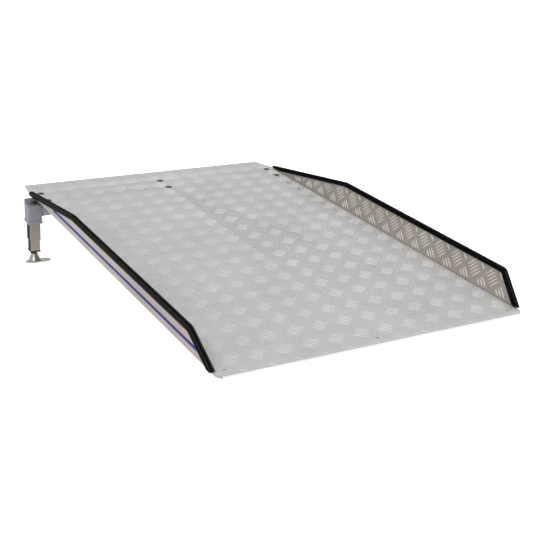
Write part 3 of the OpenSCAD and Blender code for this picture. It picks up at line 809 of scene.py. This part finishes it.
UPPER_TUBE = {"width": 25, "wall": 1.4, "top": 16.05, "end": 98, "radius": 1.6}
LOWER_TUBE = {"width": 22, "wall": 1.8, "top": 45, "end": 124, "radius": 1.4}
SPINDLE_CORE = 4.25
THREAD_CREST = 4.98
THREAD_PITCH = 1.5
SPINDLE_TOP = -84
HEX_TOP = -127.05
HEX_H = 2.5
HEX_ACROSS = 14
BALL_NECK_R = 2.9
FOOT_BASE = 3.0
CONE_H = 18
CONE_LOW_R = 15.0
CONE_HIGH_R = 7.9


def rounded_square(half, radius, steps=5):
    points = []
    for quarter in range(4):
        a0 = quarter * math.pi / 2
        cx = (half - radius) * (1 if quarter in (0, 3) else -1)
        cy = (half - radius) * (1 if quarter in (0, 1) else -1)
        for k in range(steps + 1):
            a = a0 + math.pi / 2 * k / steps
            points.append((cx + radius * math.cos(a), cy + radius * math.sin(a)))
    return points


def add_tube(bm, place, width, wall, top, end, radius):
    """Square tube with rounded corners, from top to end below the deck."""
    chamfer = 0.35
    outer = rounded_square(width / 2, radius)
    slim = rounded_square(width / 2 - chamfer, radius - chamfer)
    inner = rounded_square(width / 2 - wall, max(radius - wall, 0.3))
    levels = [
        (outer, -end + chamfer),
        (outer, -top - chamfer),
        (slim, -top),
        (inner, -top),
        (inner, -end),
        (slim, -end),
    ]
    rings = []
    for outline, z in levels:
        rings.append([bm.verts.new(place @ Vector((x, y, z))) for x, y in outline])
    edge = width / 2 - 0.05
    for a, b in zip(rings, rings[1:] + rings[:1]):
        for i in range(len(outer)):
            n = (i + 1) % len(outer)
            face = bm.faces.new((a[i], a[n], b[n], b[i]))
            # The outward faces take the near black finish, a painted dark reflection.
            if outer[i][0] > edge and outer[n][0] > edge and a is rings[0]:
                face.material_index = 1


def build_leg_tubes(name, side):
    tubes = (
        (f"upper_leg_{name}", "leg_frame", UPPER_TUBE),
        (f"lower_leg_{name}", f"lower_leg_{name}", LOWER_TUBE),
    )
    for node, body, sizes in tubes:
        bm = bmesh.new()
        add_tube(bm, at_leg(side), **sizes)
        finishes = ("leg_aluminium", "leg_outer_painted_reflection")
        make_object(f"{node}_tube", bm, finishes, body, (node,))


def add_thread(bm, place, top, end):
    """A screw thread as one helical ridge around the spindle's core, fading out at both ends."""
    per_turn = 20
    fade_steps = 12
    root = SPINDLE_CORE - 0.1
    count = int((top - end) / THREAD_PITCH * per_turn)
    section = ((root, -0.42), (THREAD_CREST, -0.08), (THREAD_CREST, 0.08), (root, 0.42))
    rings = []
    for k in range(count + 1):
        a = 2 * math.pi * k / per_turn
        z = end + THREAD_PITCH * k / per_turn
        fade = min(1, k / fade_steps, (count - k) / fade_steps)
        ring = []
        for r, dz in section:
            radius = root + (r - root) * fade
            spot = Vector((radius * math.cos(a), radius * math.sin(a), z + dz * THREAD_PITCH))
            ring.append(bm.verts.new(place @ spot))
        rings.append(ring)
    for a, b in zip(rings, rings[1:]):
        for i in range(4):
            n = (i + 1) % 4
            bm.faces.new((a[i], a[n], b[n], b[i]))
    bm.faces.new(rings[0])
    bm.faces.new(list(reversed(rings[-1])))


def add_hexagon(bm, place, across, low, high):
    """A hexagon with chamfered corners, as on a turned nut."""
    steps = 48
    chamfer = 0.5
    rings = []
    levels = (
        (0.0, low),
        (0.94, low),
        (1.0, low + chamfer),
        (1.0, high - chamfer),
        (0.94, high),
        (0.0, high),
    )
    for share, z in levels:
        if share == 0:
            rings.append([bm.verts.new(place @ Vector((0, 0, z)))])
            continue
        ring = []
        for k in range(steps):
            a = 2 * math.pi * k / steps
            face_angle = (a % (math.pi / 3)) - math.pi / 6
            r = min(across / 2 / math.cos(face_angle), across / 2 / math.cos(math.pi / 6) * share)
            ring.append(bm.verts.new(place @ Vector((r * math.cos(a), r * math.sin(a), z))))
        rings.append(ring)
    for a, b in zip(rings, rings[1:]):
        for k in range(steps):
            n = (k + 1) % steps
            if len(a) == 1:
                bm.faces.new((a[0], b[k], b[n]))
            elif len(b) == 1:
                bm.faces.new((a[k], a[n], b[0]))
            else:
                bm.faces.new((a[k], a[n], b[n], b[k]))


def build_spindle(name, side):
    """The threaded spindle, the hexagon that turns it and the neck that runs into the ball."""
    bm = bmesh.new()
    place = at_leg(side)
    core = [
        (0, SPINDLE_TOP),
        (SPINDLE_CORE - 0.8, SPINDLE_TOP),
        (SPINDLE_CORE, SPINDLE_TOP - 1),
        (SPINDLE_CORE, HEX_TOP + 0.2),
        (SPINDLE_CORE, HEX_TOP - 0.5),
        (0, HEX_TOP - 0.5),
    ]
    lathe(bm, core, place, 36)
    add_thread(bm, place, SPINDLE_TOP - 1.5, HEX_TOP + 1.2)
    add_hexagon(bm, place, HEX_ACROSS, HEX_TOP - HEX_H, HEX_TOP)
    neck = [
        (0, -BALL_DROP + 1),
        (BALL_NECK_R, -BALL_DROP + 1),
        (BALL_NECK_R, HEX_TOP - 2.2),
        (0, HEX_TOP - 2.2),
    ]
    lathe(bm, neck, place, 28)
    node = f"foot_spindle_{name}"
    make_object(f"{node}_screw", bm, ("dark_steel",), node, (node,), sharp=40)


def build_foot(name, side):
    """The pressed cone with a rolled rim and a hollow flank, and the plate it stands on."""
    bm = bmesh.new()
    rim_h = 1.5
    mouth_h = 0.6
    flank_steps = 12
    top = FOOT_BASE + CONE_H
    profile = [
        (8.45, FOOT_BASE),
        (CONE_LOW_R, FOOT_BASE),
        (CONE_LOW_R + 0.5, FOOT_BASE + 0.3),
        (CONE_LOW_R + 0.5, FOOT_BASE + 0.9),
        (CONE_LOW_R, FOOT_BASE + rim_h),
    ]
    for k in range(1, flank_steps + 1):
        u = k / flank_steps
        r = CONE_LOW_R + (CONE_HIGH_R - CONE_LOW_R) * (u**0.82)
        profile.append((r, FOOT_BASE + rim_h + (CONE_H - rim_h - mouth_h) * u))
    profile += [
        (7.5, top),
        (6.5, top),
        (6.2, top - 0.4),
        (6.2, FOOT_BASE + 12.5),
        (8.45, FOOT_BASE + 11.5),
    ]
    lathe(bm, profile, at_foot(side), 64)
    body = f"foot_{name}"
    cone = f"foot_cone_{name}"
    make_object(f"{cone}_pressed", bm, ("pressed_steel",), body, (cone,))
    refined(f"foot_plate_{name}", "zinc_steel", body, 0.6, "pressed", 3)


# ---------------------------------------------------------------- build

build_deck()
for label, sign in SIDES.items():
    build_trim(f"trim_{label}", sign)
    build_stripe(f"stripe_{label}", sign)
    build_leg_tubes(label, sign)
    build_spindle(label, sign)
    build_foot(label, sign)
    refined(f"leg_plug_{label}", "black_plastic", f"lower_leg_{label}", 0.5, "moulding")
    refined(f"leg_bracket_{label}", "cast_grey", "leg_frame", 1.1, "casting", 3)
    refined(f"leg_lock_screw_{label}", "dark_steel", "leg_frame", 0.35, "bolt")
    refined(f"rib_{label}", "rib_aluminium", "deck", 0.8, "channel")
    refined(f"pivot_block_{label}", "cast_grey", "deck", 0.8, "casting")
refined("pivot_block_middle", "cast_grey", "deck", 0.8, "casting")
refined("fold_lock_knob", "black_plastic", "lock_knob", 1.2, "grip", 3)
refined("deck_screws", "dark_screws", "deck", 0.4, "heads")
refined("bracket_bolts", "dark_screws", "leg_frame", 0.5, "heads")
refined("low_edge_strip", "strip_rubber", "deck", 0.5, "pad")
build_rivets()
build_welds()

# Pieces whose CAD shape is right keep it and get their finish.
KEPT = {
    "cross_tube": "plain_aluminium",
    "roll_pins": "dark_steel",
    "fold_lock_pad": "brass",
    "fold_lock_stud": "zinc_steel",
}
for place_name in ("left", "middle", "right"):
    KEPT[f"pivot_bush_{place_name}"] = "nylon"
for label in SIDES:
    KEPT[f"leg_insert_{label}"] = "plain_aluminium"
    KEPT[f"spindle_nut_{label}"] = "zinc_steel"
    KEPT[f"foot_ball_{label}"] = "bright_steel"
    KEPT[f"foot_cup_{label}"] = "nylon"
for cad_node, finish in KEPT.items():
    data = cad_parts[cad_node].data
    data.materials.clear()
    data.materials.append(MAT[finish])

# ---------------------------------------------------------------- floor, light and camera

# A glowing paper floor whose rim rises above the horizon, all in metres.
FLOOR_REACH = 40
FLOOR_RIM_H = 6
FLOOR_GAP = 0.0005
FLOOR_GLOW = 0.75
# The sky is brightest towards this direction and dimmest opposite to it.
SKY_TOWARD = (-0.72, -0.62, 0.30)
SKY_DIM = 0.35
SKY_BRIGHT = 1.2
KEY_PLACE = (-3.2, -3.0, 3.6)
KEY_SIZE = 2.0
KEY_POWER = 60
CAMERA_PLACE = (-0.990, -1.8464, 0.571)
CAMERA_LOOK = (0.478, 0.8412, -0.2527)
CAMERA_UP = (0.141, 0.2105, 0.9674)
CAMERA_LENS = 68.47
SENSOR_W = 36

scene = bpy.context.scene
scene.view_settings.view_transform = "Standard"
scene.view_settings.look = "None"


def build_floor():
    paper = new_material("floor_paper", (0.92, 0.92, 0.92), 0.9)
    sockets(paper)["Emission Color"].default_value = (1, 1, 1, 1)
    sockets(paper)["Emission Strength"].default_value = FLOOR_GLOW
    bm = bmesh.new()
    bmesh.ops.create_grid(bm, x_segments=8, y_segments=8, size=FLOOR_REACH)
    for vert in bm.verts:
        if max(abs(vert.co.x), abs(vert.co.y)) > 0.99 * FLOOR_REACH:
            vert.co.z = FLOOR_RIM_H
    mesh = bpy.data.meshes.new("floor")
    bm.to_mesh(mesh)
    bm.free()
    mesh.materials.append(paper)
    floor = bpy.data.objects.new("floor", mesh)
    floor.location.z = -FLOOR_GAP
    scene.collection.objects.link(floor)


def build_sky():
    world = bpy.data.worlds.new("studio")
    scene.world = world
    world.use_nodes = True
    nodes = world.node_tree.nodes
    links = world.node_tree.links
    backdrop = nodes["Background"]
    backdrop.inputs["Color"].default_value = (1, 1, 1, 1)
    place = nodes.new("ShaderNodeTexCoord")
    toward = nodes.new("ShaderNodeVectorMath")
    toward.operation = "DOT_PRODUCT"
    toward.inputs[1].default_value = SKY_TOWARD
    fall = nodes.new("ShaderNodeMapRange")
    fall.inputs["From Min"].default_value = -1
    fall.inputs["From Max"].default_value = 1
    fall.inputs["To Min"].default_value = SKY_DIM
    fall.inputs["To Max"].default_value = SKY_BRIGHT
    links.new(place.outputs["Generated"], toward.inputs[0])
    links.new(toward.outputs["Value"], fall.inputs["Value"])
    links.new(fall.outputs["Result"], backdrop.inputs["Strength"])


def build_key_light():
    """One large soft light, aimed at the middle of the floor."""
    data = bpy.data.lights.new("key", "AREA")
    data.shape = "DISK"
    data.size = KEY_SIZE
    data.energy = KEY_POWER
    key = bpy.data.objects.new("key", data)
    key.location = KEY_PLACE
    key.rotation_euler = (-Vector(KEY_PLACE)).to_track_quat("-Z", "Y").to_euler()
    scene.collection.objects.link(key)


def build_camera():
    data = bpy.data.cameras.new("camera")
    data.sensor_width = SENSOR_W
    data.lens = CAMERA_LENS
    camera = bpy.data.objects.new("camera", data)
    look = Vector(CAMERA_LOOK).normalized()
    right = look.cross(Vector(CAMERA_UP)).normalized()
    up = right.cross(look)
    turn = Matrix((right, up, -look)).transposed().to_4x4()
    camera.matrix_world = Matrix.Translation(CAMERA_PLACE) @ turn
    scene.collection.objects.link(camera)
    scene.camera = camera


build_floor()
build_sky()
build_key_light()
build_camera()
